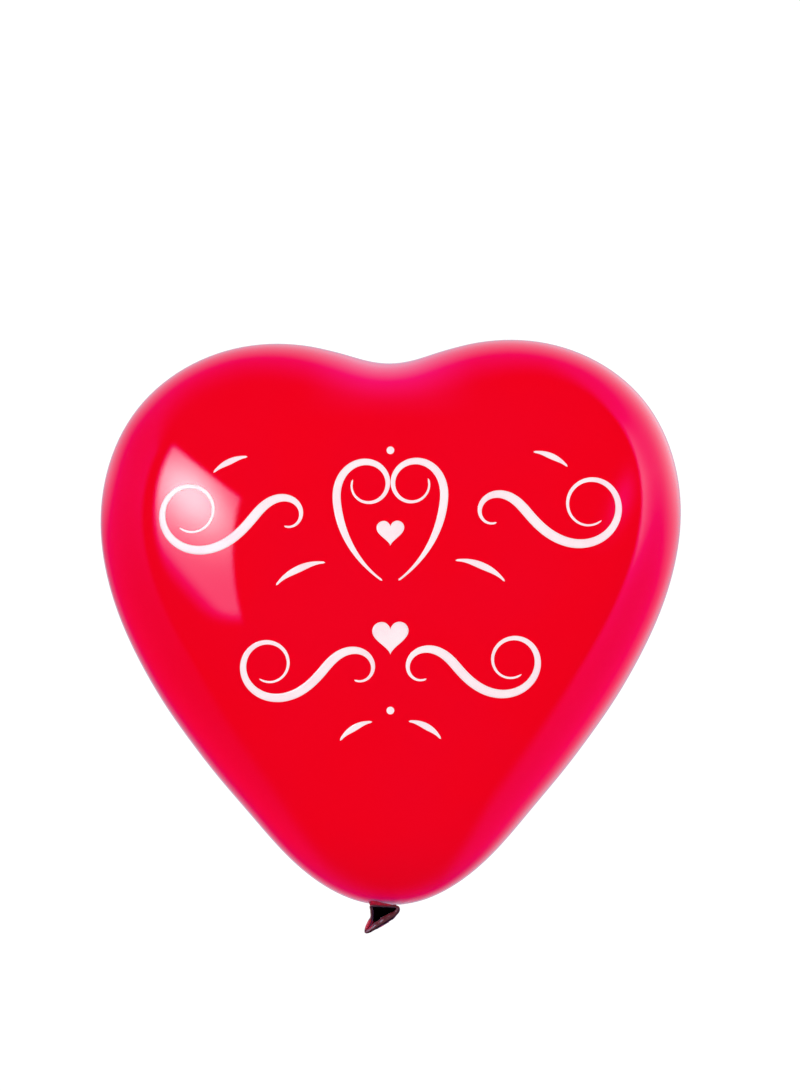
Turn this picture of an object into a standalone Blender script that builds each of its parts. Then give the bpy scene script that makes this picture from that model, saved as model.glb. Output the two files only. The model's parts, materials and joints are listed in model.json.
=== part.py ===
"""Heart-shaped latex party balloon, inflated and tied, with a white scroll print on its front.

Blender 4.5, metres. +Z is up, the print faces -Y, and the origin is the throat, where the
skin gathers into the neck. The knot and the free tail hang under it.
"""

import math

import bmesh
import bpy
import numpy as np
from mathutils import Vector

# Driving dimensions of the inflated heart
DEPTH = 0.172
WALL = 0.0005
CORE_HEIGHT = 0.150
LOBE_RISE = 0.017
SKIN_CELLS = 16
HARMONICS = 60
CALMING = 1e-6
RAY_LENGTH = 0.16
RAY_HALVINGS = 40
NORMAL_STEP = 0.0005
GAP = 0.0003

# Radii of the outline round the heart's core, evenly spaced in angle from straight up, through
# the notch and over the lobe, to straight down at the throat
OUTLINE_RADII = [
    0.1123,
    0.1183,
    0.1299,
    0.1406,
    0.1486,
    0.1530,
    0.1527,
    0.1484,
    0.1416,
    0.1339,
    0.1270,
    0.1220,
    0.1192,
    0.1188,
    0.1211,
    0.1268,
    0.1363,
    0.1457,
    0.1500,
]
OUTLINE_SAMPLES = 721

# Neck and knot
HOLE_RADIUS = 0.0029
THROAT_RADIUS = 0.0025
THROAT_TOP = 0.0006
THROAT_WAIST = -0.0011
THROAT_BOTTOM = -0.0022
WAIST_RADIUS = 0.00175
THROAT_END_RADIUS = 0.0014
STRAND_RADIUS = 0.00075
KNOT_CENTRE = Vector((-0.0009, -0.0007, -0.0042))
KNOT_RING_RADIUS = 0.0022
KNOT_RUBBER_RADIUS = 0.00115

# Tail: a cup that is gathered round its pivot at the knot, and flares to the rolled lip
TAIL_PIVOT = Vector((-0.0018, -0.0055, -0.0058))
TAIL_NECK_RADIUS = 0.0016
TAIL_WALL = 0.0004
TAIL_SIDES = 36
TAIL_START_ANGLE = 150
TAIL_BELLY = 0.8
STRAND_END = TAIL_PIVOT + Vector((0, TAIL_NECK_RADIUS + GAP + 0.0001, -0.0002))
LIP_RADIUS = 0.0006
LIP_ROUTE = [
    (-0.0090, -0.0158, 0.0001),
    (-0.0030, -0.0166, 0.0),
    (0.0028, -0.0170, -0.0002),
    (0.0041, -0.0169, -0.0014),
    (0.0027, -0.0170, -0.0042),
    (-0.0019, -0.0172, -0.0080),
    (-0.0060, -0.0168, -0.0105),
    (-0.0113, -0.0158, -0.0129),
    (-0.0122, -0.0150, -0.0122),
    (-0.0112, -0.0142, -0.0095),
    (-0.0094, -0.0140, -0.0057),
    (-0.0092, -0.0150, -0.0025),
]

# Print
INK_THICKNESS = 0.00025
HAIRLINE = 0.0009
STROKE_STEP = 0.003
STROKE_SWELL = 1.6

SKIN_RED = (0.86, 0.0, 0.012)
NECK_RED = (0.42, 0.0, 0.012)
LIP_MAROON = (0.1, 0.012, 0.02)
INK_WHITE = (1.0, 0.86, 0.9)


class Membrane:
    """The inflated heart: its half depth over any point of the front plane.

    The square of the half depth is a pressed membrane's height over the outline, that is, a
    paraboloid plus the harmonics that bring it to zero along the outline.
    """

    def __init__(self):
        self.scale = max(OUTLINE_RADII)
        angles, radii = self.outline()
        powers = np.arange(HARMONICS + 1)
        terms = (radii[:, None] / self.scale) ** powers * np.cos(angles[:, None] * powers)
        squares = terms.T @ terms + CALMING * np.identity(HARMONICS + 1)
        self.weights = np.linalg.solve(squares, terms.T @ (radii / self.scale) ** 2)
        rise = np.linspace(0.05, 0.25, 201)
        tallest = max(self.height(0.0, up) for up in rise)
        self.stretch = DEPTH / 2 / math.sqrt(tallest)

    def outline(self):
        """The outline's angles and radii round the core, finely, as a cosine series through its radii."""
        angles = np.linspace(0, math.pi, len(OUTLINE_RADII))
        orders = np.arange(len(OUTLINE_RADII))
        series = np.linalg.solve(np.cos(angles[:, None] * orders), OUTLINE_RADII)
        fine = np.linspace(0, math.pi, OUTLINE_SAMPLES)
        return fine, np.cos(fine[:, None] * orders) @ series

    def height(self, across, up):
        radius = math.hypot(across, up - CORE_HEIGHT) / self.scale
        angle = math.atan2(across, up - CORE_HEIGHT)
        total = -(radius**2)
        for order, weight in enumerate(self.weights):
            total += weight * radius**order * math.cos(order * angle)
        return total

    def half_depth(self, across, up):
        return self.stretch * math.sqrt(max(self.height(across, up), 0.0))

    def cast(self, direction):
        """Where a ray from the core along the direction meets the skin."""
        near, far = 0.0, RAY_LENGTH
        for _ in range(RAY_HALVINGS):
            middle = (near + far) / 2
            x, y, z = direction * middle
            inside = self.height(x, z + CORE_HEIGHT) * self.stretch**2 > y * y
            near, far = (middle, far) if inside else (near, middle)
        return direction * near + Vector((0, 0, CORE_HEIGHT))

    def front(self, across, up, offset):
        """The point over (across, up) on the front, moved out along the normal by the offset."""

        def surface(x, z):
            return Vector((x, -self.half_depth(x, z), z))

        side = surface(across + NORMAL_STEP, up) - surface(across - NORMAL_STEP, up)
        rise = surface(across, up + NORMAL_STEP) - surface(across, up - NORMAL_STEP)
        return surface(across, up) + side.cross(rise).normalized() * offset


def lean(point):
    """The right lobe sits a little higher than the left one."""
    return Vector((point.x, point.y, point.z + LOBE_RISE * point.x))


def smooth_route(points, count):
    """Evenly spaced points on a closed Catmull-Rom curve through the points."""
    points = [Vector(point) for point in points]
    fine = []
    for index in range(len(points)):
        before, start, end, after = (points[(index + shift) % len(points)] for shift in (-1, 0, 1, 2))
        for share in np.linspace(0, 1, 12, endpoint=False):
            swing = (end - before) * share + (2 * before - 5 * start + 4 * end - after) * share**2
            swing += (3 * start - before - 3 * end + after) * share**3
            fine.append(start + swing / 2)
    closed = np.array(fine + fine[:1])
    lengths = np.concatenate([[0], np.cumsum(np.linalg.norm(np.diff(closed, axis=0), axis=1))])
    marks = np.linspace(0, lengths[-1], count, endpoint=False)
    return [Vector(row) for row in np.stack([np.interp(marks, lengths, axis) for axis in closed.T], axis=1)]


def clear_scene():
    for obj in list(bpy.data.objects):
        bpy.data.objects.remove(obj, do_unlink=True)


def new_collection(name, hidden=False):
    collection = bpy.data.collections.new(name)
    bpy.context.scene.collection.children.link(collection)
    collection.hide_render = hidden
    return collection


def new_material(name, colour, roughness):
    material = bpy.data.materials.new(name)
    material.use_nodes = True
    shader = material.node_tree.nodes["Principled BSDF"]
    shader.inputs["Base Color"].default_value = (*colour, 1)
    shader.inputs["Roughness"].default_value = roughness
    return material


def mesh_object(name, bm, collection, material):
    bmesh.ops.recalc_face_normals(bm, faces=bm.faces)
    mesh = bpy.data.meshes.new(name)
    bm.to_mesh(mesh)
    bm.free()
    mesh.shade_smooth()
    if material:
        mesh.materials.append(material)
    obj = bpy.data.objects.new(name, mesh)
    collection.objects.link(obj)
    return obj


def thicken(obj, thickness, offset):
    solidify = obj.modifiers.new("Wall", "SOLIDIFY")
    solidify.thickness = thickness
    solidify.offset = offset


def make_skin(balloon, cutters, membrane):
    """The heart body: an open-necked shell, cast from a subdivided cube."""
    bm = bmesh.new()
    bmesh.ops.create_cube(bm, size=2)
    bmesh.ops.subdivide_edges(bm, edges=bm.edges, cuts=SKIN_CELLS - 1, use_grid_fill=True)
    for vert in bm.verts:
        even = Vector(math.tan(value * math.pi / 4) for value in vert.co)
        vert.co = lean(membrane.cast(even.normalized()))
    skin = mesh_object("balloon_skin", bm, balloon, new_material("skin_red", SKIN_RED, 0.1))
    thicken(skin, WALL, -1)

    bm = bmesh.new()
    bmesh.ops.create_cone(
        bm, cap_ends=True, segments=24, radius1=HOLE_RADIUS, radius2=HOLE_RADIUS, depth=0.01
    )
    hole = mesh_object("cut_neck_hole", bm, cutters, None)
    hole.hide_render = True
    hole.display_type = "WIRE"
    cut = skin.modifiers.new("Neck hole", "BOOLEAN")
    cut.operation = "DIFFERENCE"
    cut.solver = "EXACT"
    cut.object = hole


def make_throat(balloon, rubber):
    """The gathered neck: a turned plug that fills the hole and narrows to the knot."""
    profile = [
        (0, THROAT_TOP),
        (THROAT_RADIUS, THROAT_TOP),
        (THROAT_RADIUS, -GAP),
        (WAIST_RADIUS, THROAT_WAIST),
        (THROAT_END_RADIUS, THROAT_BOTTOM),
        (0, THROAT_BOTTOM),
    ]
    bm = bmesh.new()
    verts = [bm.verts.new((radius, 0, up)) for radius, up in profile]
    for start, end in zip(verts, verts[1:]):
        bm.edges.new((start, end))
    mesh = bpy.data.meshes.new("neck_throat")
    bm.to_mesh(mesh)
    bm.free()
    mesh.materials.append(rubber)
    throat = bpy.data.objects.new("neck_throat", mesh)
    balloon.objects.link(throat)
    screw = throat.modifiers.new("Turn", "SCREW")
    screw.steps = screw.render_steps = 24
    screw.use_merge_vertices = True
    screw.merge_threshold = 0.00001


def make_knot(balloon, rubber):
    """The overhand knot: one turn of neck rubber, and the strand that runs down through it."""
    below_throat = Vector((0, 0, THROAT_BOTTOM - GAP))
    strand_axis = (below_throat - KNOT_CENTRE).normalized()
    bpy.ops.mesh.primitive_torus_add(
        major_radius=KNOT_RING_RADIUS,
        minor_radius=KNOT_RUBBER_RADIUS,
        major_segments=28,
        minor_segments=12,
        location=KNOT_CENTRE,
        rotation=strand_axis.to_track_quat("Z", "Y").to_euler(),
    )
    wrap = bpy.context.object
    wrap.name = wrap.data.name = "knot_wrap"
    wrap.data.shade_smooth()
    wrap.data.materials.append(rubber)
    for collection in list(wrap.users_collection):
        collection.objects.unlink(wrap)
    balloon.objects.link(wrap)

    under_ring = KNOT_CENTRE - strand_axis * KNOT_RING_RADIUS
    strand_curve("knot_core", [below_throat, KNOT_CENTRE, under_ring, STRAND_END], balloon, rubber)


def strand_curve(name, route, balloon, rubber):
    data = bpy.data.curves.new(name, "CURVE")
    data.dimensions = "3D"
    data.bevel_depth = STRAND_RADIUS
    data.bevel_resolution = 3
    data.resolution_u = 6
    data.use_fill_caps = True
    data.materials.append(rubber)
    spline = data.splines.new("BEZIER")
    spline.bezier_points.add(len(route) - 1)
    for bezier, place in zip(spline.bezier_points, route):
        bezier.co = place
        bezier.handle_left_type = bezier.handle_right_type = "AUTO"
    balloon.objects.link(bpy.data.objects.new(name, data))


def tail_rings():
    """Rings of the tail, from its closed end round the pivot to the edge under the lip."""
    lip = smooth_route(LIP_ROUTE, TAIL_SIDES)
    neck = []
    for index in range(TAIL_SIDES):
        angle = math.radians(TAIL_START_ANGLE) - math.tau * index / TAIL_SIDES
        neck.append(Vector((math.cos(angle), 0, math.sin(angle))))
    rings = []
    for turn in (20, 45, 70, 90):
        reach = math.sin(math.radians(turn)) * TAIL_NECK_RADIUS
        back = Vector((0, math.cos(math.radians(turn)) * TAIL_NECK_RADIUS, 0))
        rings.append([TAIL_PIVOT + back + side * reach for side in neck])
    to_lip = LIP_RADIUS + GAP
    for share in (0.2, 0.4, 0.6, 0.8, 1.0):
        ring = []
        for side, edge in zip(neck, lip):
            start = TAIL_PIVOT + side * TAIL_NECK_RADIUS
            end = edge - (edge - start).normalized() * to_lip
            place = start.lerp(end, share)
            place.y = start.y + (end.y - start.y) * share**TAIL_BELLY
            ring.append(place)
        rings.append(ring)
    return lip, rings


def make_tail(balloon, rubber, maroon):
    """The free end of the neck: a thin flared cup, hung on the pivot at the knot, with its rolled lip."""
    lip, rings = tail_rings()
    pivot = bpy.data.objects.new("tail_pivot", None)
    pivot.location = TAIL_PIVOT
    balloon.objects.link(pivot)

    bm = bmesh.new()
    circle = bmesh.ops.create_circle(bm, segments=TAIL_SIDES, radius=1, cap_ends=True)
    loop = circle["verts"]
    edges = [edge for edge in bm.edges]
    for vert, place in zip(loop, rings[0]):
        vert.co = place - TAIL_PIVOT
    for ring in rings[1:]:
        grown = bmesh.ops.extrude_edge_only(bm, edges=edges)["geom"]
        edges = [item for item in grown if isinstance(item, bmesh.types.BMEdge)]
        edges = [edge for edge in edges if len(edge.link_faces) == 1]
        loop = [other_end(vert, grown) for vert in loop]
        for vert, place in zip(loop, ring):
            vert.co = place - TAIL_PIVOT
    tail = mesh_object("tail_funnel", bm, balloon, rubber)
    tail.parent = pivot
    thicken(tail, TAIL_WALL, -1)

    data = bpy.data.curves.new("lip_bead", "CURVE")
    data.dimensions = "3D"
    data.bevel_depth = LIP_RADIUS
    data.bevel_resolution = 2
    data.materials.append(maroon)
    spline = data.splines.new("POLY")
    spline.points.add(len(lip) - 1)
    spline.use_cyclic_u = True
    for point, place in zip(spline.points, lip):
        point.co = (*(place - TAIL_PIVOT), 1)
    bead = bpy.data.objects.new("lip_bead", data)
    bead.parent = pivot
    balloon.objects.link(bead)


def other_end(vert, grown):
    """The new vertex that an extrusion joined to this one."""
    fresh = {item for item in grown if isinstance(item, bmesh.types.BMVert)}
    return next(edge.other_vert(vert) for edge in vert.link_edges if edge.other_vert(vert) in fresh)


def half_stroke(heading, length, turn, power):
    """Headings and places along half a pen stroke, whose curl tightens away from its middle."""
    count = max(4, round(length / STROKE_STEP))
    share = np.linspace(0, 1, count + 1)
    headings = math.radians(heading) + math.radians(turn) * share ** (power + 1)
    fine = (np.arange(count * 8) + 0.5) / (count * 8)
    bends = math.radians(heading) + math.radians(turn) * fine ** (power + 1)
    steps = np.stack([np.cos(bends), np.sin(bends)], axis=1) * length / len(fine)
    places = np.concatenate([[[0, 0]], np.cumsum(steps, axis=0)])[::8]
    return share, headings, places


def make_stroke(name, mirror, ink, balloon, membrane, middle, heading, back, ahead, width):
    """One pen stroke of ink: a ribbon, wide in its middle and fine at its curled ends."""
    share_b, heading_b, place_b = half_stroke(heading, *back)
    share_a, heading_a, place_a = half_stroke(heading, *ahead)
    share = np.concatenate([-share_b[::-1], share_a[1:]])
    headings = np.concatenate([heading_b[::-1], heading_a[1:]])
    places = np.concatenate([-place_b[::-1], place_a[1:]]) + np.array(middle)
    widths = HAIRLINE + (width - HAIRLINE) * np.cos(share * math.pi / 2).clip(0, 1) ** STROKE_SWELL
    widths[[0, -1]] /= 2
    bm = bmesh.new()
    grid = bmesh.ops.create_grid(bm, x_segments=len(share) - 1, y_segments=1, size=1)
    ordered = sorted(grid["verts"], key=lambda vert: (round(vert.co.x, 5), vert.co.y))
    for index, vert in enumerate(ordered):
        row, side = index // 2, index % 2 - 0.5
        across = places[row, 0] - math.sin(headings[row]) * widths[row] * side
        up = places[row, 1] + math.cos(headings[row]) * widths[row] * side
        vert.co = lean(membrane.front(across * mirror, up, GAP))
    finish_ink(name, bm, ink, balloon)


def finish_ink(name, bm, ink, balloon):
    bmesh.ops.recalc_face_normals(bm, faces=bm.faces)
    if sum(face.normal.y * face.calc_area() for face in bm.faces) > 0:
        bmesh.ops.reverse_faces(bm, faces=bm.faces)
    mesh = bpy.data.meshes.new(name)
    bm.to_mesh(mesh)
    bm.free()
    mesh.materials.append(ink)
    obj = bpy.data.objects.new(name, mesh)
    balloon.objects.link(obj)
    thicken(obj, INK_THICKNESS, 1)


def make_spot(name, ink, balloon, membrane, up, size, outline, sides):
    """A filled spot of ink on the middle line, with the outline that a function of the angle gives."""
    bm = bmesh.new()
    circle = bmesh.ops.create_circle(bm, segments=sides, radius=1, cap_ends=True, cap_tris=True)
    for vert in circle["verts"]:
        if vert.co.length < 0.5:
            vert.co = lean(membrane.front(0, up, GAP))
            continue
        across, rise = outline(math.atan2(vert.co.x, vert.co.y))
        vert.co = lean(membrane.front(across * size, up + rise * size, GAP))
    finish_ink(name, bm, ink, balloon)


def heart_spot(angle):
    """A heart of unit width, centred on its middle."""
    rise = 13 * math.cos(angle) - 5 * math.cos(2 * angle) - 2 * math.cos(3 * angle) - math.cos(4 * angle)
    return math.sin(angle) ** 3 / 2, (rise + 2.5) / 32


def round_spot(angle):
    return math.sin(angle) / 2, math.cos(angle) / 2


def make_print(balloon, membrane):
    """Mirrored pairs of scrolls and leaves, with hearts and dots on the middle line."""
    ink = new_material("ink_white", INK_WHITE, 0.35)
    strokes = {
        "scroll_upper": ((-0.064, 0.189), 50, (0.120, -450, 0.62), (0.041, -255, 0.8), 0.0046),
        "heart_frame": ((-0.0248, 0.193), 98, (0.042, 46, 0.0), (0.074, -390, 0.42), 0.0038),
        "scroll_lower": ((-0.031, 0.117), 50, (0.104, -446, 0.62), (0.043, -258, 0.75), 0.0044),
        "leaf_middle": ((-0.043, 0.164), 24, (0.013, 28, 0.5), (0.013, -28, 0.5), 0.0032),
        "leaf_upper": ((-0.076, 0.215), 24, (0.009, 24, 0.5), (0.009, -24, 0.5), 0.0028),
        "leaf_lower": ((-0.017, 0.089), 30, (0.009, 30, 0.5), (0.009, -30, 0.5), 0.0030),
    }
    for title, stroke in strokes.items():
        for side, mirror in (("left", 1), ("right", -1)):
            make_stroke(f"print_{title}_{side}", mirror, ink, balloon, membrane, *stroke)
    make_spot("print_heart_upper", ink, balloon, membrane, 0.180, 0.013, heart_spot, 28)
    make_spot("print_heart_lower", ink, balloon, membrane, 0.131, 0.017, heart_spot, 28)
    make_spot("print_dot_upper", ink, balloon, membrane, 0.219, 0.0036, round_spot, 14)
    make_spot("print_dot_lower", ink, balloon, membrane, 0.097, 0.0036, round_spot, 14)


def main():
    clear_scene()
    balloon = new_collection("heart_balloon")
    cutters = new_collection("cutters", hidden=True)
    membrane = Membrane()
    rubber = new_material("neck_red", NECK_RED, 0.25)
    maroon = new_material("lip_maroon", LIP_MAROON, 0.25)
    make_skin(balloon, cutters, membrane)
    make_throat(balloon, rubber)
    make_knot(balloon, rubber)
    make_tail(balloon, rubber, maroon)
    make_print(balloon, membrane)


main()
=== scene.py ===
"""Heart-shaped latex party balloon: the looks of the tied heart, built round its fixed frame.

Metres, +Z up, the print faces -Y, and the origin is the throat where the skin gathers.
"""

import json
import math

import bmesh
import bpy
import numpy as np
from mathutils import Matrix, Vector

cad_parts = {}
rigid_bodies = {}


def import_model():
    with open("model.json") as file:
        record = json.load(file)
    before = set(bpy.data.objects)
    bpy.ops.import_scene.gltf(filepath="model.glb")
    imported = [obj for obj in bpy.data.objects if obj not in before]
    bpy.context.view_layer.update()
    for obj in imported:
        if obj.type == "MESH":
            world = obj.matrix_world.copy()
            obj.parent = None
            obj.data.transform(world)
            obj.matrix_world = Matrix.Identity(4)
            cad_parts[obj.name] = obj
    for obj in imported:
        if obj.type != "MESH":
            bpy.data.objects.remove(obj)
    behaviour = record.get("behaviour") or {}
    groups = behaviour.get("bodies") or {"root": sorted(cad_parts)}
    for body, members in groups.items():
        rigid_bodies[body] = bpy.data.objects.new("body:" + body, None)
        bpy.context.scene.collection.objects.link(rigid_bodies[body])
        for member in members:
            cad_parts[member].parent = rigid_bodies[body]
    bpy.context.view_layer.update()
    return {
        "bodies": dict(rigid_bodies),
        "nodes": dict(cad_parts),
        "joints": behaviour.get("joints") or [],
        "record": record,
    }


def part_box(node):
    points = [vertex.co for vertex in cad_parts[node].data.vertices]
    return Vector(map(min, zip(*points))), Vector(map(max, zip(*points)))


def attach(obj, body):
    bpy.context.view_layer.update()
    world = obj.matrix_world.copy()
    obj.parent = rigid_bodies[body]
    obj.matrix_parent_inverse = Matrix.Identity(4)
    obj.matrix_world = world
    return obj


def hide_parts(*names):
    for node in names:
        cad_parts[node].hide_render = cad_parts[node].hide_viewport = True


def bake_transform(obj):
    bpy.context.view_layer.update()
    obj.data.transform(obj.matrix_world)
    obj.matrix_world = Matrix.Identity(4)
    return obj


bl_info = {
    "name": "Heart Balloon",
    "version": (1, 0, 0),
    "blender": (4, 5, 0),
    "location": "View3D > Sidebar > Heart Balloon",
    "description": "Builds a tied heart-shaped latex balloon with a white scroll print",
    "category": "Add Mesh",
}

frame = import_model()
SKIN_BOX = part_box("balloon_skin")
TAIL_PIVOT = Vector(next(j["pos_m"] for j in frame["joints"] if j["name"] == "tail_swing"))

# The inflated heart, as in the frame. The radii of its outline round the core are evenly spaced
# in angle, from straight up in the notch, over a lobe, to straight down at the throat. A little
# calming keeps the harmonics from ringing between them.
CORE_HEIGHT = 0.150
LOBE_RISE = 0.017
HARMONICS = 60
CALMING = 1e-6
OUTLINE_SAMPLES = 721
RAY_LENGTH = 0.16
HALVINGS = 40
NORMAL_STEP = 0.0005
OUTLINE_RADII = [
    0.1123,
    0.1183,
    0.1299,
    0.1406,
    0.1486,
    0.1530,
    0.1527,
    0.1484,
    0.1416,
    0.1339,
    0.1270,
    0.1220,
    0.1192,
    0.1188,
    0.1211,
    0.1268,
    0.1363,
    0.1457,
    0.1500,
]
SKIN_SIDES = 180
SKIN_RINGS = 120
# The rings crowd together over this share of the way up from the throat
RING_CROWDING = 0.2
CROWDED_SHARE = 0.08

# Gather and neck
HOLE_RADIUS = 0.0024
GATHER_LIFT = 0.0010
GATHER_REACH = 0.0070
PLEAT_REACH = 0.006
PLEAT_DEPTH = 0.00022
# Centre line and radius of the neck, from above the throat into the knot
NECK_PROFILE = [
    (0, 0, 0.0022, 0.0036),
    (0, 0, 0.0014, 0.0030),
    (0, 0, 0.0004, 0.00252),
    (-0.0001, 0, -0.0010, 0.0021),
    (-0.0003, -0.0002, -0.0022, 0.0016),
    (-0.0005, -0.0004, -0.0030, 0.0013),
    (-0.0009, -0.0007, -0.0042, 0.0011),
]

# Knot and tail
KNOT_CENTRE = Vector((-0.0009, -0.0007, -0.0042))
KNOT_RING_RADIUS = 0.0022
KNOT_RUBBER_RADIUS = 0.00118
TAIL_NECK_RADIUS = 0.0016
TAIL_ROWS = 61
TAIL_WALL = 0.00035
TAIL_PLEAT = 0.00035
# Centre line and radius of the rolled lip, clockwise from its upper left corner
LIP_ROUTE = [
    (-0.0091, -0.0158, 0.0012, 0.00060),
    (-0.0030, -0.0166, 0.0011, 0.00050),
    (0.0024, -0.0170, 0.0009, 0.00065),
    (0.0036, -0.0169, -0.0004, 0.00090),
    (0.0018, -0.0168, -0.0028, 0.00135),
    (-0.0027, -0.0166, -0.0056, 0.00180),
    (-0.0066, -0.0164, -0.0082, 0.00155),
    (-0.0113, -0.0158, -0.0114, 0.00080),
    (-0.0120, -0.0150, -0.0107, 0.00065),
    (-0.0106, -0.0142, -0.0080, 0.00110),
    (-0.0092, -0.0140, -0.0046, 0.00070),
    (-0.0091, -0.0150, -0.0013, 0.00070),
]
LIP_STEPS = 145
TAIL_TIP = (-0.0101, -0.0146, -0.0084)
# How far the crest behind the lip's upper edge is pulled out, and where along the tail it lies
FOLD_PULL = (-0.0013, -0.0016, 0.0027)
FOLD_PLACE = 0.93
FOLD_SPREAD = 0.05
# The way that the lip's outer lower right side faces, in shade
SHADE_SIDE = (0.55, 0.0, -0.83)

# Print: middle, heading, back half, forward half and width of each mirrored pen stroke
STROKES = {
    "scroll_upper": ((-0.064, 0.189), 50, (0.120, -450, 0.62), (0.041, -255, 0.8), 0.0046),
    "heart_frame": ((-0.0248, 0.193), 98, (0.042, 46, 0.0), (0.074, -390, 0.42), 0.0038),
    "scroll_lower": ((-0.031, 0.117), 50, (0.104, -446, 0.62), (0.043, -258, 0.75), 0.0044),
    "leaf_middle": ((-0.043, 0.164), 24, (0.013, 28, 0.5), (0.013, -28, 0.5), 0.0032),
    "leaf_upper": ((-0.076, 0.215), 24, (0.009, 24, 0.5), (0.009, -24, 0.5), 0.0028),
    "leaf_lower": ((-0.017, 0.089), 30, (0.009, 30, 0.5), (0.009, -30, 0.5), 0.0030),
}
INK_LIFT = 0.00003
INK_ACROSS = 4
INK_STEP = 0.0008
HAIRLINE = 0.0009

# Finish, and the painted shade inside the tail and under the lip
LATEX_IOR = 1.5
INK_IOR = 1.45
PAINTED_SHADE_INSIDE = (0.002, 0.0008, 0.001)
PAINTED_SHADE_UNDERSIDE = (0.006, 0.002, 0.003)

# Studio
ROOM_WHITE = (1.06, 1.06, 1.06)
FLOOR_WHITE = (0.95, 0.95, 0.95)
CAMERA_DISTANCE = 2.5
CAMERA_HEIGHT = 0.1743
CAMERA_ACROSS = 0.0045
VIEW_HEIGHT = 0.5276
SENSOR = 36.0
# The wall behind, as the gloss mirrors it: angle round the object from +X to +Z in degrees,
# brightness, how far back its edge begins and ends, and extra brightness along the edge
WALL = [
    (-180, 0.52, -0.06, 0.02, 0.12),
    (-165, 0.30, -0.06, 0.02, 0.05),
    (-150, 0.22, -0.06, 0.03, 0),
    (-135, 0.30, 0.0, 0.3, 0),
    (-118, 0.48, 0.1, 0.7, 0),
    (-90, 0.60, 0.2, 0.8, 0),
    (-65, 0.48, 0.18, 0.8, 0),
    (-48, 0.60, -0.06, 0.25, 0),
    (-30, 0.68, -0.06, 0.04, 0.15),
    (-15, 0.75, -0.05, 0.02, 0.5),
    (0, 1.08, -0.03, 0.04, 1.5),
    (15, 1.38, 0.0, 0.07, 1.9),
    (30, 1.40, 0.02, 0.10, 1.3),
    (45, 1.28, 0.05, 0.13, 0.1),
    (60, 1.05, 0.06, 0.3, 0),
    (75, 0.92, 0.04, 0.55, 0),
    (90, 0.80, 0.0, 0.5, 0),
    (105, 0.70, 0.0, 0.6, 0),
    (125, 0.70, -0.02, 0.58, 0),
    (138, 0.72, -0.06, 0.4, 0.05),
    (150, 0.62, -0.06, 0.03, 0.2),
    (165, 0.70, -0.06, 0.02, 0.2),
    (180, 0.52, -0.06, 0.02, 0.12),
]
FLOOR_HEIGHT = -0.35
FLOOR_RADIUS = 2.4


class Membrane:
    """The inflated heart as a pressed membrane: a paraboloid plus harmonics, over the outline."""

    def __init__(self, depth):
        angles = np.linspace(0, math.pi, len(OUTLINE_RADII))
        orders = np.arange(len(OUTLINE_RADII))
        series = np.linalg.solve(np.cos(angles[:, None] * orders), OUTLINE_RADII)
        fine = np.linspace(0, math.pi, OUTLINE_SAMPLES)
        self.scale = max(OUTLINE_RADII)
        share = np.cos(fine[:, None] * orders) @ series / self.scale
        powers = np.arange(HARMONICS + 1)
        terms = share[:, None] ** powers * np.cos(fine[:, None] * powers)
        squares = terms.T @ terms + CALMING * np.identity(HARMONICS + 1)
        self.weights = np.linalg.solve(squares, terms.T @ share**2)
        self.stretch = 1.0
        rise = np.linspace(0.05, 0.25, 201)
        self.stretch = depth / 2 / self.half_depth(np.zeros_like(rise), rise).max()

    def height(self, across, up):
        radius = np.hypot(across, up - CORE_HEIGHT) / self.scale
        angle = np.arctan2(across, up - CORE_HEIGHT)
        total = -(radius**2)
        for order, weight in enumerate(self.weights):
            total = total + weight * radius**order * np.cos(order * angle)
        return total

    def half_depth(self, across, up):
        return self.stretch * np.sqrt(np.maximum(self.height(across, up), 0))

    def cast(self, directions):
        """Where rays from the core meet the skin, by halving the interval."""
        near, far = np.zeros(len(directions)), np.full(len(directions), RAY_LENGTH)
        for _ in range(HALVINGS):
            middle = (near + far) / 2
            x, y, z = (directions * middle[:, None]).T
            inside = self.height(x, z + CORE_HEIGHT) * self.stretch**2 > y * y
            near, far = np.where(inside, middle, near), np.where(inside, far, middle)
        return directions * near[:, None] + np.array([0, 0, CORE_HEIGHT])

    def front(self, across, up, lift):
        """Points on the front over (across, up), moved out along the normal."""

        def surface(x, z):
            return np.stack([x, -self.half_depth(x, z), z], axis=-1)

        side = surface(across + NORMAL_STEP, up) - surface(across - NORMAL_STEP, up)
        rise = surface(across, up + NORMAL_STEP) - surface(across, up - NORMAL_STEP)
        normal = np.cross(side, rise)
        return surface(across, up) + normal / np.linalg.norm(normal, axis=-1, keepdims=True) * lift


def lean(points):
    """The right lobe sits a little higher than the left one."""
    points = points.copy()
    points[..., 2] += LOBE_RISE * points[..., 0]
    return points


def membrane():
    """The heart's shape, as deep as the frame's skin."""
    return Membrane(SKIN_BOX[1].y - SKIN_BOX[0].y)


def ripple(pleats, turn):
    """Rise and fall of the pleats round the neck, with a slower uneven one on top."""
    return np.cos(pleats * turn) + 0.35 * np.cos(7 * turn + 1.3)


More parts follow.
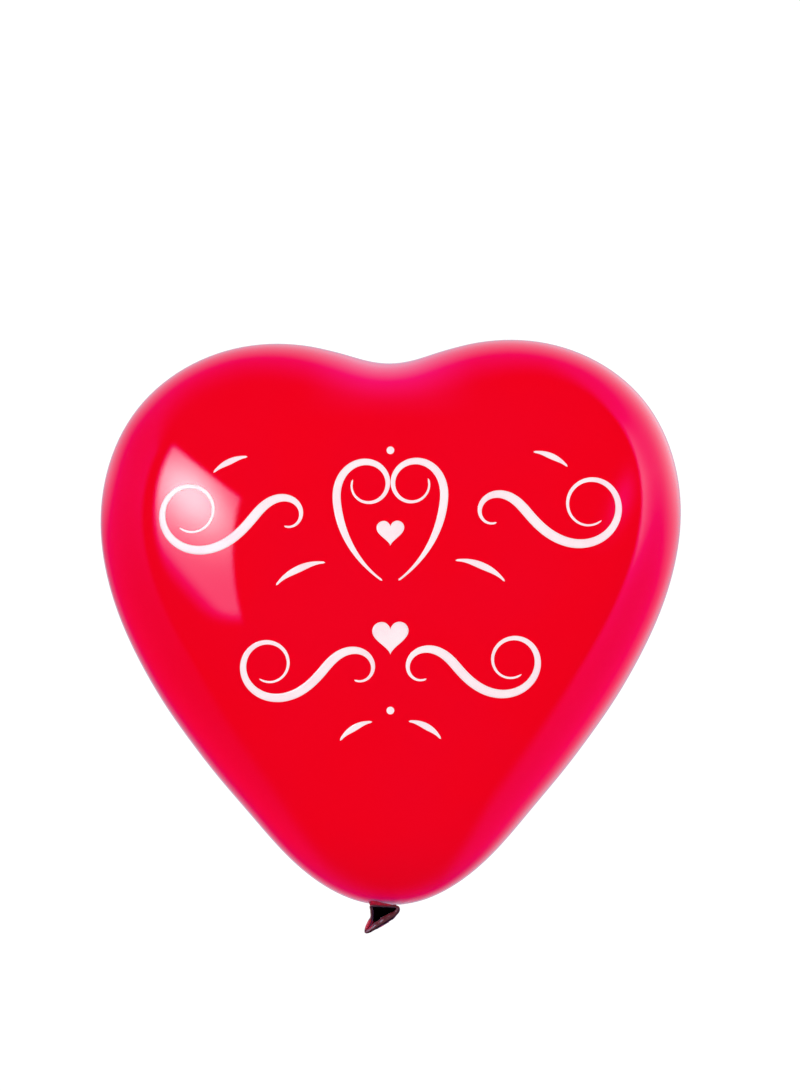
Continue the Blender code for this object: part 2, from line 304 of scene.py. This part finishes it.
def catmull(points, count, closed):
    """Evenly spaced points, of any number of columns, on a Catmull-Rom curve through the points."""
    points = np.array(points, float)
    last = len(points) if closed else len(points) - 1
    fine = []
    for index in range(last):
        picks = [index - 1, index, index + 1, index + 2]
        picks = [p % len(points) if closed else min(max(p, 0), last) for p in picks]
        before, start, end, after = points[picks]
        share = np.linspace(0, 1, 16, endpoint=False)[:, None]
        swing = (end - before) * share + (2 * before - 5 * start + 4 * end - after) * share**2
        swing = swing + (3 * start - before - 3 * end + after) * share**3
        fine.append(start + swing / 2)
    fine = np.concatenate(fine + [points[:1] if closed else points[-1:]])
    steps = np.linalg.norm(np.diff(fine[:, :3], axis=0), axis=1)
    lengths = np.concatenate([[0], np.cumsum(steps)])
    marks = np.linspace(0, lengths[-1], count)
    return np.stack([np.interp(marks, lengths, column) for column in fine.T], axis=1)


def frames(route, first_side):
    """A side and a rise square to the route at each of its points, turned as little as possible."""
    ahead = np.gradient(route, axis=0)
    ahead /= np.linalg.norm(ahead, axis=1, keepdims=True)
    side = np.array(first_side, float)
    sides = []
    for direction in ahead:
        side = side - direction * (side @ direction)
        side = side / np.linalg.norm(side)
        sides.append(side)
    sides = np.array(sides)
    return sides, np.cross(ahead, sides)


def lay_grid(places):
    """A bmesh grid whose rows and columns sit at the places, with meeting edges welded."""
    rows, columns = places.shape[:2]
    bm = bmesh.new()
    grid = bmesh.ops.create_grid(bm, x_segments=rows - 1, y_segments=columns - 1, size=1)
    ordered = sorted(grid["verts"], key=lambda vert: (round(vert.co.x, 5), vert.co.y))
    for vert, place in zip(ordered, places.reshape(-1, 3)):
        vert.co = place
    bmesh.ops.remove_doubles(bm, verts=bm.verts, dist=1e-7)
    return bm


def finish_piece(name, bm, material, slot, outwards=True):
    """Makes the bmesh an object. The neck, knot, tail and lip stay out of the skin's gloss."""
    if outwards:
        bmesh.ops.recalc_face_normals(bm, faces=bm.faces)
    mesh = bpy.data.meshes.new(name)
    bm.to_mesh(mesh)
    bm.free()
    mesh.shade_smooth()
    mesh.materials.append(material)
    obj = bpy.data.objects.new(name, mesh)
    bpy.context.scene.collection.objects.link(obj)
    if slot in ("neck", "lip"):
        obj.visible_glossy = False
    return obj


def tube(route, radius, sides, first_side, closed=False):
    """A capped tube, whose radius is a function of the share along it and the angle round it."""
    side, rise = frames(route, first_side)
    if closed:
        side[-1], rise[-1] = side[0], rise[0]
    share = np.linspace(0, 1, len(route))[:, None]
    angle = np.linspace(0, math.tau, sides + 1)[None, :]
    reach = radius(share, angle)[..., None]
    ring = side[:, None] * np.cos(angle)[..., None] + rise[:, None] * np.sin(angle)[..., None]
    places = route[:, None] + ring * reach
    places[:, -1] = places[:, 0]
    if closed:
        places[-1] = places[0]
    bm = lay_grid(places)
    if not closed:
        bmesh.ops.holes_fill(bm, edges=[edge for edge in bm.edges if edge.is_boundary])
    return bm


def smoothstep(low, high, value):
    share = np.clip((value - low) / (high - low), 0, 1)
    return share * share * (3 - 2 * share)


class Field:
    """A value that varies over a surface. Arithmetic on it adds Math nodes."""

    def __init__(self, shader, socket):
        self.shader, self.socket = shader, socket

    def maths(self, operation, *others):
        """A Math node on this value and the others."""
        values = dict(enumerate((self, *others)))
        return self.shader.node("ShaderNodeMath", {"operation": operation}, values)

    def __add__(self, other):
        return self.maths("ADD", other)

    def __sub__(self, other):
        return self.maths("SUBTRACT", other)

    def __rsub__(self, other):
        return -self + other

    def __mul__(self, other):
        return self.maths("MULTIPLY", other)

    def __truediv__(self, other):
        return self.maths("DIVIDE", other)

    def __neg__(self):
        return self * -1

    def __abs__(self):
        return self.maths("ABSOLUTE")

    __radd__ = __add__
    __rmul__ = __mul__


class Shader:
    """Node trees for a material or the world."""

    def __init__(self, owner):
        owner.use_nodes = True
        self.tree = owner.node_tree
        self.tree.nodes.clear()

    def node(self, kind, settings, inputs, output=0):
        """Adds a node, sets it up, feeds its sockets, and returns one of its outputs."""
        node = self.tree.nodes.new(kind)
        for name, value in settings.items():
            if name == "stops":
                self.set_stops(node.color_ramp, value)
            else:
                setattr(node, name, value)
        for name, value in inputs.items():
            if isinstance(value, Field):
                self.tree.links.new(value.socket, node.inputs[name])
            else:
                node.inputs[name].default_value = value
        return Field(self, node.outputs[output]) if node.outputs else None

    def set_stops(self, ramp, stops):
        while len(ramp.elements) < len(stops):
            ramp.elements.new(1.0)
        for element, (place, colour) in zip(ramp.elements, stops):
            element.position = place
            element.color = colour

    def place(self):
        return self.node("ShaderNodeTexCoord", {}, {}, output="Object")

    def attribute(self, name):
        return self.node("ShaderNodeAttribute", {"attribute_name": name}, {}, output="Fac")

    def noise(self, place, scale, detail):
        return self.node("ShaderNodeTexNoise", {}, {"Vector": place, "Scale": scale, "Detail": detail})

    def ramp(self, value, low, high, start=0.0, end=1.0):
        """The value's range from low to high mapped to start to end, smooth at both ends."""
        sockets = {"Value": value, 1: low, 2: high, 3: start, 4: end}
        return self.node("ShaderNodeMapRange", {"interpolation_type": "SMOOTHSTEP"}, sockets)

    def mix(self, share, first, second):
        colours = {0: share, 6: first, 7: second}
        return self.node("ShaderNodeMix", {"data_type": "RGBA"}, colours, output=2)

    def outlets(self, field):
        """Every output of the node that the field comes from."""
        return [Field(self, socket) for socket in field.socket.node.outputs]

    def axes(self, place):
        return self.outlets(self.node("ShaderNodeSeparateXYZ", {}, {"Vector": place}))

    def distance(self, place, centre):
        between = {0: place, 1: centre}
        return self.node("ShaderNodeVectorMath", {"operation": "DISTANCE"}, between, output="Value")

    def bump(self, height, strength, distance):
        sockets = {"Height": height, "Strength": strength, "Distance": distance}
        return self.node("ShaderNodeBump", {}, sockets)


def rgba(colour):
    return (*colour, 1)


def new_surface(name, sockets_of):
    """A Principled material, whose sockets a function of its shader gives."""
    material = bpy.data.materials.new(name)
    shader = Shader(material)
    surface = shader.node("ShaderNodeBsdfPrincipled", {}, sockets_of(shader))
    shader.node("ShaderNodeOutputMaterial", {}, {"Surface": surface})
    return material


def skin_latex(sizes):
    """Glossy stretched latex, deeper and duller by the neck, where the latex is thicker, with painted
    shade of the underside round it, and paler in the notch, which is painted light.
    """

    def sockets(shader):
        place = shader.place()
        cloud = shader.noise(place, 14, 3)
        grain = shader.noise(place, 900, 2)
        neck = shader.distance(place, (0, 0, 0))
        # Darker towards the neck: the first ramp is the thicker latex by the neck, the second, wider one
        # is painted shade of the underside
        gathered = shader.ramp(neck, 0.002, 0.026, 0.8, 0) + shader.ramp(neck, 0.02, 0.075, 0.2, 0)
        red = rgba(sizes.skin_colour)
        deep = (red[0] * 0.6, red[1], red[2] * 1.4, 1)
        warm = (red[0] * 0.985, red[1], red[2] * 1.2, 1)
        tone = shader.mix(shader.ramp(cloud, 0.35, 0.65), red, warm)
        x, _, z = shader.axes(place)
        # Painted light: the notch is painted paler and pinker than the rest of the skin
        notch = shader.ramp(z, 0.232, 0.264) * shader.ramp(abs(x), 0.008, 0.045, 1, 0)
        painted_notch_light = (min(red[0] + 0.04, 1), red[1] + 0.004, red[2] + 0.075, 1)
        return {
            "Base Color": shader.mix(gathered, shader.mix(notch, tone, painted_notch_light), deep),
            "Roughness": cloud * 0.02 + gathered * 0.12 + sizes.skin_roughness,
            "IOR": LATEX_IOR,
            "Normal": shader.bump(grain, 0.04, 0.0002),
        }

    return new_surface("latex_skin_red", sockets)


def thick_latex(name, colour, sheen_roughness):
    """Unstretched latex of the neck, knot and tail: darker, with fine wrinkles."""

    def sockets(shader):
        place = shader.place()
        cloud = shader.noise(place, 320, 3)
        wrinkle = shader.noise(place, 1500, 4)
        shade = tuple(value * 0.6 for value in colour)
        return {
            "Base Color": shader.mix(shader.ramp(cloud, 0.3, 0.7), rgba(colour), rgba(shade)),
            "Roughness": wrinkle * 0.2 + sheen_roughness,
            "IOR": LATEX_IOR,
            "Normal": shader.bump(wrinkle, 0.35, 0.0001),
        }

    return new_surface(name, sockets)


def tail_inside(sizes):
    """The inside of the tail: painted shade, near black, except its own crimson by the tip, where the
    light reaches it.
    """

    def sockets(shader):
        place = shader.place()
        tip = shader.distance(place, TAIL_TIP)
        wrinkle = shader.noise(place, 1500, 3)
        lit = shader.ramp(tip + wrinkle * 0.0008, 0.0026, 0.0042, 1, 0)
        # Painted shade: near black over the inside, the tail's own crimson only by the tip
        colour = shader.mix(lit, rgba(PAINTED_SHADE_INSIDE), rgba(sizes.tail_colour))
        return {"Base Color": colour, "Roughness": 0.7, "Specular IOR Level": 0.0}

    return new_surface("latex_tail_inside", sockets)


def lip_latex(sizes):
    """The rolled lip: maroon, with painted crimson light round the tip and painted shade, near black, on
    its outer lower right side.
    """

    def sockets(shader):
        place = shader.place()
        wrinkle = shader.noise(place, 1400, 4)
        tip = shader.distance(place, TAIL_TIP)
        # Painted light: round the tip the lip is painted the tail's crimson, as where it is lit
        lit = shader.ramp(tip + wrinkle * 0.0006, 0.0022, 0.0036, 1, 0)
        maroon = shader.mix(lit, rgba(sizes.lip_colour), rgba(sizes.tail_colour))
        # Painted shade: the lip's outer lower right side turns near black
        under = shader.ramp(shader.attribute("under") + wrinkle * 0.3, 0.34, 0.7)
        return {
            "Base Color": shader.mix(under, maroon, rgba(PAINTED_SHADE_UNDERSIDE)),
            "Roughness": wrinkle * 0.2 + 0.26,
            "IOR": LATEX_IOR,
            "Normal": shader.bump(wrinkle, 0.3, 0.0001),
        }

    return new_surface("latex_lip_maroon", sockets)


def screen_ink(sizes):
    """Opaque white ink, printed before inflation, that thins out in tiny specks as it stretches."""

    def sockets(shader):
        place = shader.place()
        cloud = shader.noise(place, 60, 3)
        speck = shader.noise(place, 2600, 2)
        white = rgba(sizes.ink_colour)
        blush = (white[0], white[1] * 0.86, white[2] * 0.9, 1)
        return {
            "Base Color": shader.mix(shader.ramp(cloud + speck * 0.5, 0.6, 1.0), white, blush),
            "Roughness": speck * 0.15 + 0.3,
            "IOR": INK_IOR,
            "Normal": shader.bump(speck, 0.08, 0.00005),
        }

    return new_surface("screen_ink_white", sockets)


class HeartSizes(bpy.types.PropertyGroup):
    wall: bpy.props.FloatProperty(
        name="Skin wall",
        description="Thickness of the stretched skin",
        default=0.0003,
        min=0.0001,
        unit="LENGTH",
    )
    pleats: bpy.props.IntProperty(
        name="Pleats", description="Pleats of the gathered skin round the neck", default=15, min=3
    )
    ink_thickness: bpy.props.FloatProperty(
        name="Ink thickness", description="Thickness of the printed ink", default=0.00004, unit="LENGTH"
    )
    skin_roughness: bpy.props.FloatProperty(
        name="Skin roughness",
        description="Lowest roughness of the stretched skin",
        default=0.045,
        min=0,
        max=1,
        subtype="FACTOR",
    )
    skin_colour: bpy.props.FloatVectorProperty(
        name="Skin",
        description="Colour of the stretched skin",
        default=(0.885, 0.0, 0.0105),
        subtype="COLOR",
    )
    neck_colour: bpy.props.FloatVectorProperty(
        name="Neck",
        description="Colour of the neck and knot",
        default=(0.5, 0.002, 0.012),
        subtype="COLOR",
    )
    tail_colour: bpy.props.FloatVectorProperty(
        name="Tail",
        description="Colour of the tail's outside",
        default=(0.5, 0.001, 0.035),
        subtype="COLOR",
    )
    lip_colour: bpy.props.FloatVectorProperty(
        name="Lip",
        description="Colour of the rolled lip",
        default=(0.115, 0.022, 0.034),
        subtype="COLOR",
    )
    ink_colour: bpy.props.FloatVectorProperty(
        name="Ink",
        description="Colour of the print",
        default=(1.0, 0.87, 0.9),
        subtype="COLOR",
    )


class HEART_OT_skin(bpy.types.Operator):
    """Build the inflated skin, drawn down into fine pleats at the neck"""

    bl_idname = "heart_balloon.skin"
    bl_label = "Inflated Skin"

    def execute(self, context):
        sizes = context.scene.heart_sizes
        bm = bmesh.new()
        bmesh.ops.create_uvsphere(bm, u_segments=SKIN_SIDES, v_segments=SKIN_RINGS, radius=1)
        places = np.array([vert.co for vert in bm.verts])
        from_bottom = np.arccos(np.clip(-places[:, 2], -1, 1)) / math.pi
        drawn = (1 - RING_CROWDING) * CROWDED_SHARE
        crowded = from_bottom - drawn * (1 - np.exp(-from_bottom / CROWDED_SHARE))
        polar = math.pi * crowded / (1 - drawn)
        turn = np.arctan2(places[:, 1], places[:, 0])
        directions = np.stack(
            [np.sin(polar) * np.cos(turn), np.sin(polar) * np.sin(turn), -np.cos(polar)], axis=1
        )
        skin = lean(membrane().cast(directions))
        self.gather(skin, sizes.pleats)
        for vert, place in zip(bm.verts, skin):
            vert.co = place
        low = [vert for vert in bm.verts if vert.co.z < CORE_HEIGHT / 2]
        hole = [vert for vert in low if math.hypot(vert.co.x, vert.co.y) < HOLE_RADIUS]
        bmesh.ops.delete(bm, geom=hole, context="VERTS")
        piece = finish_piece("inflated_skin", bm, skin_latex(sizes), "skin")
        wall = piece.modifiers.new("Wall", "SOLIDIFY")
        wall.thickness = sizes.wall
        wall.offset = -1
        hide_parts("balloon_skin")
        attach(piece, "heart")
        return {"FINISHED"}

    def gather(self, skin, pleats):
        """Draws the skin into the neck, in pleats that die out over the body."""
        low = skin[:, 2] < CORE_HEIGHT / 2
        past = np.maximum(np.hypot(skin[:, 0], skin[:, 1]) - HOLE_RADIUS, 0)
        fold = ripple(pleats, np.arctan2(skin[:, 1], skin[:, 0]))
        skin[:, 2] += np.where(low, GATHER_LIFT * np.exp(-past / GATHER_REACH), 0)
        skin[:, 2] += np.where(low, PLEAT_DEPTH * fold * np.exp(-past / PLEAT_REACH), 0)


class HEART_OT_print(bpy.types.Operator):
    """Lay the printed scrolls, leaves, hearts and dots on the skin"""

    bl_idname = "heart_balloon.print"
    bl_label = "Scroll Print"

    def execute(self, context):
        sizes = context.scene.heart_sizes
        ink = screen_ink(sizes)
        shape = membrane()
        for title, stroke in STROKES.items():
            for side, mirror in (("left", 1), ("right", -1)):
                places = self.ribbon(shape, mirror, *stroke)
                self.add_ink(f"ink_{title}_{side}", f"print_{title}_{side}", places, ink, sizes)
        spots = {
            "heart_upper": (0.180, 0.013, self.heart_edge),
            "heart_lower": (0.131, 0.017, self.heart_edge),
            "dot_upper": (0.219, 0.0036, self.dot_edge),
            "dot_lower": (0.097, 0.0036, self.dot_edge),
        }
        for title, (up, size, edge) in spots.items():
            places = self.spot(shape, up, size, edge)
            self.add_ink(f"ink_{title}", f"print_{title}", places, ink, sizes)
        return {"FINISHED"}

    def half(self, heading, length, turn, power):
        """Headings and places along half a pen stroke, whose curl tightens away from its middle."""
        count = max(6, round(length / INK_STEP))
        share = np.linspace(0, 1, count + 1)
        headings = math.radians(heading) + math.radians(turn) * share ** (power + 1)
        middles = (share[1:] + share[:-1]) / 2
        bends = math.radians(heading) + math.radians(turn) * middles ** (power + 1)
        steps = np.stack([np.cos(bends), np.sin(bends)], axis=1) * length / count
        return share, headings, np.concatenate([[[0, 0]], np.cumsum(steps, axis=0)])

    def ribbon(self, shape, mirror, middle, heading, back, ahead, width):
        """A pen stroke: widest at its middle, with round ends, and laid on the skin."""
        share_b, heading_b, place_b = self.half(heading, *back)
        share_a, heading_a, place_a = self.half(heading, *ahead)
        share = np.concatenate([-share_b[::-1], share_a[1:]])
        headings = np.concatenate([heading_b[::-1], heading_a[1:]])
        places = np.concatenate([-place_b[::-1], place_a[1:]]) + np.array(middle)
        widths = HAIRLINE + (width - HAIRLINE) * np.cos(share * math.pi / 2).clip(0, 1) ** 1.6
        ends = np.minimum(1, (1 - np.abs(share)) * 40)
        widths = widths * np.sqrt(np.maximum(ends * (2 - ends), 0.02))
        offsets = np.linspace(-0.5, 0.5, INK_ACROSS + 1)[None] * widths[:, None]
        across = places[:, :1] - np.sin(headings)[:, None] * offsets
        up = places[:, 1:] + np.cos(headings)[:, None] * offsets
        return lean(shape.front(across * mirror, up, INK_LIFT))

    def spot(self, shape, up, size, edge):
        """Rings from a spot's middle to its edge."""
        angle = np.linspace(0, math.tau, 65)[None]
        across, rise = edge(angle)
        share = np.linspace(0.001, 1, 7)[:, None]
        return lean(shape.front(across * size * share, up + rise * size * share, INK_LIFT))

    def heart_edge(self, angle):
        """A heart one unit high, round its middle."""
        rise = 13 * np.cos(angle) - 5 * np.cos(2 * angle) - 2 * np.cos(3 * angle) - np.cos(4 * angle)
        return np.sin(angle) ** 3 / 2, (rise + 2.5) / 32

    def dot_edge(self, angle):
        return np.sin(angle) / 2, np.cos(angle) / 2

    def add_ink(self, name, node, places, ink, sizes):
        """A sheet of ink that faces forwards. The pinhole in the middle of a spot is closed."""
        bm = lay_grid(places)
        small = [edge for edge in bm.edges if edge.is_boundary and edge.calc_length() < 0.0001]
        if len(small) > 8:
            bmesh.ops.holes_fill(bm, edges=small)
        bmesh.ops.recalc_face_normals(bm, faces=bm.faces)
        if sum(face.normal.y * face.calc_area() for face in bm.faces) > 0:
            bmesh.ops.reverse_faces(bm, faces=bm.faces)
        piece = finish_piece(name, bm, ink, "ink", outwards=False)
        body = piece.modifiers.new("Ink", "SOLIDIFY")
        body.thickness = sizes.ink_thickness
        body.offset = 1
        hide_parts(node)
        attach(piece, "heart")


class HEART_OT_neck(bpy.types.Operator):
    """Build the gathered neck and the overhand knot under it"""

    bl_idname = "heart_balloon.neck"
    bl_label = "Neck and Knot"

    def execute(self, context):
        sizes = context.scene.heart_sizes
        rubber = thick_latex("latex_neck_red", tuple(sizes.neck_colour), 0.2)
        self.gathered_neck(sizes, rubber)
        self.knot_band(rubber)
        self.knot_strand(rubber)
        return {"FINISHED"}

    def gathered_neck(self, sizes, rubber):
        """The throat, whose pleats die out at both ends."""
        route = catmull(NECK_PROFILE, 26, False)

        def radius(share, angle):
            swell = 0.07 * ripple(sizes.pleats, angle) * np.sin(share * math.pi) ** 0.5
            return route[:, 3:] * (1 + swell)

        bm = tube(route[:, :3], radius, 120, (1, 0, 0))
        neck = finish_piece("gathered_neck", bm, rubber, "neck")
        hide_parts("neck_throat")
        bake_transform(neck)

    def knot_band(self, rubber):
        """One turn of bunched rubber round the neck, whose creases run slantwise along it."""
        axis = -KNOT_CENTRE.normalized()
        side = axis.cross(Vector((0, 1, 0))).normalized()
        rise = axis.cross(side)
        turn = np.linspace(0, math.tau, 97)[:, None]
        ring = np.array(side) * np.cos(turn) + np.array(rise) * np.sin(turn)
        sway = np.array(axis) * np.sin(turn + 0.6) * 0.00045
        route = np.array(KNOT_CENTRE) + ring * KNOT_RING_RADIUS + sway

        def radius(share, angle):
            crease = np.abs(np.sin(2.5 * angle + 1.5 * math.tau * share)) ** 0.7
            swell = 1 + 0.12 * np.sin(math.tau * share + 2.1)
            return KNOT_RUBBER_RADIUS * swell * (0.86 + 0.2 * crease)

        bm = tube(route, radius, 48, tuple(axis), closed=True)
        band = finish_piece("knot_band", bm, rubber, "neck")
        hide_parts("knot_wrap")
        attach(band, "knot")

    def knot_strand(self, rubber):
        """The strand that leaves the knot and turns forward into the tail."""
        route = [
            (*KNOT_CENTRE, 0.0011),
            (-0.0013, -0.0012, -0.0058, 0.00125),
            (-0.0016, -0.0024, -0.0067, 0.0013),
            (-0.0018, -0.0039, -0.0065, 0.0013),
            (TAIL_PIVOT.x, TAIL_PIVOT.y, TAIL_PIVOT.z - 0.0001, 0.0014),
            (TAIL_PIVOT.x, TAIL_PIVOT.y - 0.0012, TAIL_PIVOT.z, 0.0015),
        ]
        fine = catmull(route, 40, False)

        def radius(share, angle):
            return fine[:, 3:] * (0.88 + 0.16 * np.abs(np.sin(3 * angle + 2.5 * share)))

        bm = tube(fine[:, :3], radius, 48, (1, 0, 0))
        strand = finish_piece("knot_strand", bm, rubber, "neck")
        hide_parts("knot_core")
        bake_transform(strand)


class HEART_OT_tail(bpy.types.Operator):
    """Build the flared free end of the neck and its rolled lip"""

    bl_idname = "heart_balloon.tail"
    bl_label = "Tail and Lip"

    def execute(self, context):
        sizes = context.scene.heart_sizes
        lip = catmull(LIP_ROUTE, LIP_STEPS, True)
        self.flared_tail(sizes, lip)
        self.rolled_lip(sizes, lip)
        return {"FINISHED"}

    def flared_tail(self, sizes, lip):
        """Rows from the knot to the lip, pleated between them, with a crest behind the upper edge."""
        share = np.linspace(0, 1, TAIL_ROWS)[:, None, None]
        turn = (math.radians(150) - np.linspace(0, math.tau, len(lip)))[None, :, None]
        around = np.concatenate([np.cos(turn), np.zeros_like(turn), np.sin(turn)], axis=2)
        pleat = np.cos(9 * turn) + 0.6 * np.cos(5 * turn + 1.0)
        start = np.array(TAIL_PIVOT) + around * TAIL_NECK_RADIUS * (1 + 0.12 * pleat)
        end = lip[None, :, :3]
        places = start + (end - start) * share
        places[..., 1:2] = start[..., 1:2] + (end[..., 1:2] - start[..., 1:2]) * share**0.8
        fade = np.sin(share * math.pi) ** 1.5
        places = places + around * pleat * fade * TAIL_PLEAT
        along = np.linspace(0, 1, len(lip))[None, :, None]
        crest = smoothstep(0.36, 0.0, along) * smoothstep(-0.004, 0.006, along)
        crest = np.maximum(crest, smoothstep(0.965, 0.995, along))
        fold = crest * np.exp(-(((share - FOLD_PLACE) / FOLD_SPREAD) ** 2))
        bm = lay_grid(places + np.array(FOLD_PULL) * fold)
        rubber = thick_latex("latex_tail_red", tuple(sizes.tail_colour), 0.16)
        tail = finish_piece("flared_tail", bm, rubber, "neck")
        # The inner wall takes the painted shade of the tail's inside
        tail.data.materials.append(tail_inside(sizes))
        wall = tail.modifiers.new("Wall", "SOLIDIFY")
        wall.thickness = TAIL_WALL
        wall.offset = 0
        wall.material_offset = 1
        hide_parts("tail_funnel")
        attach(tail, "tail")

    def rolled_lip(self, sizes, lip):
        def radius(share, angle):
            wave = 1 + 0.07 * np.sin(11 * math.tau * share) + 0.05 * np.sin(5 * math.tau * share + 1)
            return lip[:, 3:] * wave * (1 + 0.05 * np.cos(3 * angle))

        bm = tube(lip[:, :3], radius, 20, (0, -1, 0), closed=True)
        bead = finish_piece("rolled_lip", bm, lip_latex(sizes), "lip")
        self.mark_painted_shade_side(bead, lip)
        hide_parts("lip_bead")
        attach(bead, "tail")

    def mark_painted_shade_side(self, bead, lip):
        """Stores how far each point of the bead lies towards its outer lower right side, where the lip
        is painted in shade.
        """
        points = np.array([vert.co for vert in bead.data.vertices])
        nearest = np.linalg.norm(points[:, None] - lip[None, :, :3], axis=2).argmin(axis=1)
        reach = (points - lip[nearest, :3]) / lip[nearest, 3:]
        under = reach @ np.array(SHADE_SIDE)
        layer = bead.data.attributes.new("under", "FLOAT", "POINT")
        layer.data.foreach_set("value", under.astype(np.float32))


class HEART_OT_stage(bpy.types.Operator):
    """Set up the floor, the studio light and the camera"""

    bl_idname = "heart_balloon.stage"
    bl_label = "Studio"

    def execute(self, context):
        scene = context.scene
        scene.view_settings.view_transform = "Standard"
        self.add_floor()
        self.light_world(scene)
        self.add_camera(scene)
        return {"FINISHED"}

    def add_floor(self):
        bm = bmesh.new()
        bmesh.ops.create_circle(bm, cap_ends=True, segments=96, radius=FLOOR_RADIUS)
        bmesh.ops.translate(bm, verts=bm.verts, vec=(0, 0, FLOOR_HEIGHT))

        def sockets(shader):
            return {"Base Color": rgba(FLOOR_WHITE), "Roughness": 0.9}

        floor = finish_piece("studio_floor", bm, new_surface("floor_paint", sockets), None)
        floor.visible_glossy = False

    def light_world(self, scene):
        """White all round, but gloss sees a bright wall behind, two side windows and a dark front."""
        world = bpy.data.worlds.new("studio_world")
        scene.world = world
        world.cycles.sampling_method = "NONE"
        shader = Shader(world)
        x, y, z = shader.axes(shader.node("ShaderNodeTexCoord", {}, {}, output="Generated"))
        level = self.wall(shader, x, y, z) + self.window(shader, x, y, z)
        level = level + self.streak(shader, x, y, z)
        back = y.maths("MAXIMUM", 0)
        green = level + back * 2.55 - back * back * 0.78 + shader.ramp(y, 0.4, 0.7, -2.03, -1.93)
        side = shader.ramp(abs(x), 0.35, 0.65) * shader.ramp(z, -0.5, 0.4, 0.68, 0)
        side = side * shader.ramp(y, 0.2, 0.6) * shader.ramp(y, 0.8, 0.97, 1, 0.4)
        red = level * 0.6 + shader.ramp(level, 0, 0.3, 0, 0.1) + side
        parts = {0: red, 1: green.maths("MAXIMUM", level * 0.03), 2: level}
        glow = shader.node("ShaderNodeCombineColor", {}, parts, output="Color")
        room = rgba(ROOM_WHITE)
        path = shader.node("ShaderNodeLightPath", {}, {}, output="Is Glossy Ray")
        seen = Field(shader, path.socket.node.outputs["Is Camera Ray"])
        light = shader.mix(seen, shader.mix(path, room, glow), room)
        background = shader.node("ShaderNodeBackground", {}, {"Color": light, "Strength": 1.0})
        shader.node("ShaderNodeOutputWorld", {}, {"Surface": background})

    def wall(self, shader, x, y, z):
        """Brightness of the wall behind, whose level and edge change round the object."""
        turn = z.maths("ARCTAN2", x) * (1 / math.tau) + 0.5
        stops = [((row[0] + 180) / 360, (row[1] / 2, row[2] + 0.5, row[3], row[4] / 2)) for row in WALL]
        rim = shader.node("ShaderNodeValToRGB", {"stops": stops}, {"Fac": turn}, output="Alpha")
        colour = Field(shader, rim.socket.node.outputs["Color"])
        level, begin, end = shader.outlets(shader.node("ShaderNodeSeparateColor", {}, {"Color": colour}))
        mask = shader.ramp(y, begin - 0.5, end)
        edge = ((y - 0.08) * (-1 / 0.12)).maths("EXPONENT") * rim * 2
        top = shader.ramp(y, 0.4, 0.8, 0, 0.25) * shader.ramp(z, -0.05, 0.15)
        foot = shader.ramp(y, 0.7, 0.95, 0, 0.35) * shader.ramp(z, 0.0, -0.2)
        centre = shader.ramp(y, 0.9, 0.985)
        return mask * (level * 2 + edge + top + foot) * (1 - centre) + centre * 0.8

    def window(self, shader, x, y, z):
        """A window in the left wall, brightest above its middle."""
        left = (-x).maths("MAXIMUM", 0.0001)
        u, v = -y / left, z / left
        glow = (self.spread(u, 0.62, 0.42) + self.spread(v, 0.40, 0.26)).maths("EXPONENT") * 14.5
        low = shader.ramp(u + v * 1.3, -0.05, 0.4, 0, 3.5)
        frame = shader.ramp(u, 0.14, 0.26) * shader.ramp(u - v * 0.313, 0.99, 1.04, 1, 0)
        frame = frame * shader.ramp(v + u * 0.03, 0.68, 0.77, 1, 0) * shader.ramp(v, -0.40, -0.29)
        return frame * (glow + low) * shader.ramp(x, -0.2, -0.1, 1, 0)

    def streak(self, shader, x, y, z):
        """A faint slanting streak in the right wall."""
        right = x.maths("MAXIMUM", 0.0001)
        u, v = -y / right, z / right
        along, off = (u - 0.25) * 0.8 - (v - 0.2) * 0.6, (u - 0.25) * 0.6 + (v - 0.2) * 0.8
        glow = (self.spread(along, 0, 0.18) + self.spread(off, 0, 0.11)).maths("EXPONENT")
        return glow * 1.6 * shader.ramp(x, 0.1, 0.2)

    def spread(self, value, middle, width):
        """The exponent of a soft bright band round the middle."""
        away = (value - middle) * (1 / width)
        return -(away * away)

    def add_camera(self, scene):
        camera = bpy.data.cameras.new("studio_camera")
        camera.sensor_width = SENSOR
        camera.lens = SENSOR * CAMERA_DISTANCE / VIEW_HEIGHT
        camera.clip_end = 20
        obj = bpy.data.objects.new("studio_camera", camera)
        obj.location = (CAMERA_ACROSS, -CAMERA_DISTANCE, CAMERA_HEIGHT)
        obj.rotation_euler = (math.pi / 2, 0, 0)
        scene.collection.objects.link(obj)
        scene.camera = obj


class HEART_PT_panel(bpy.types.Panel):
    """Sizes, colours and building steps of the heart balloon"""

    bl_idname = "HEART_PT_panel"
    bl_label = "Heart Balloon"
    bl_space_type = "VIEW_3D"
    bl_region_type = "UI"
    bl_category = "Heart Balloon"

    def draw(self, context):
        column = self.layout.column()
        for name in HeartSizes.__annotations__:
            column.prop(context.scene.heart_sizes, name)
        for operator in OPERATORS:
            column.operator(operator.bl_idname)


OPERATORS = (HEART_OT_skin, HEART_OT_print, HEART_OT_neck, HEART_OT_tail, HEART_OT_stage)
CLASSES = (HeartSizes, *OPERATORS, HEART_PT_panel)


def register():
    for cls in CLASSES:
        bpy.utils.register_class(cls)
    bpy.types.Scene.heart_sizes = bpy.props.PointerProperty(type=HeartSizes)


def unregister():
    del bpy.types.Scene.heart_sizes
    for cls in reversed(CLASSES):
        bpy.utils.unregister_class(cls)


def main():
    register()
    bpy.ops.heart_balloon.skin()
    bpy.ops.heart_balloon.print()
    bpy.ops.heart_balloon.neck()
    bpy.ops.heart_balloon.tail()
    bpy.ops.heart_balloon.stage()


if __name__ == "__main__":
    main()
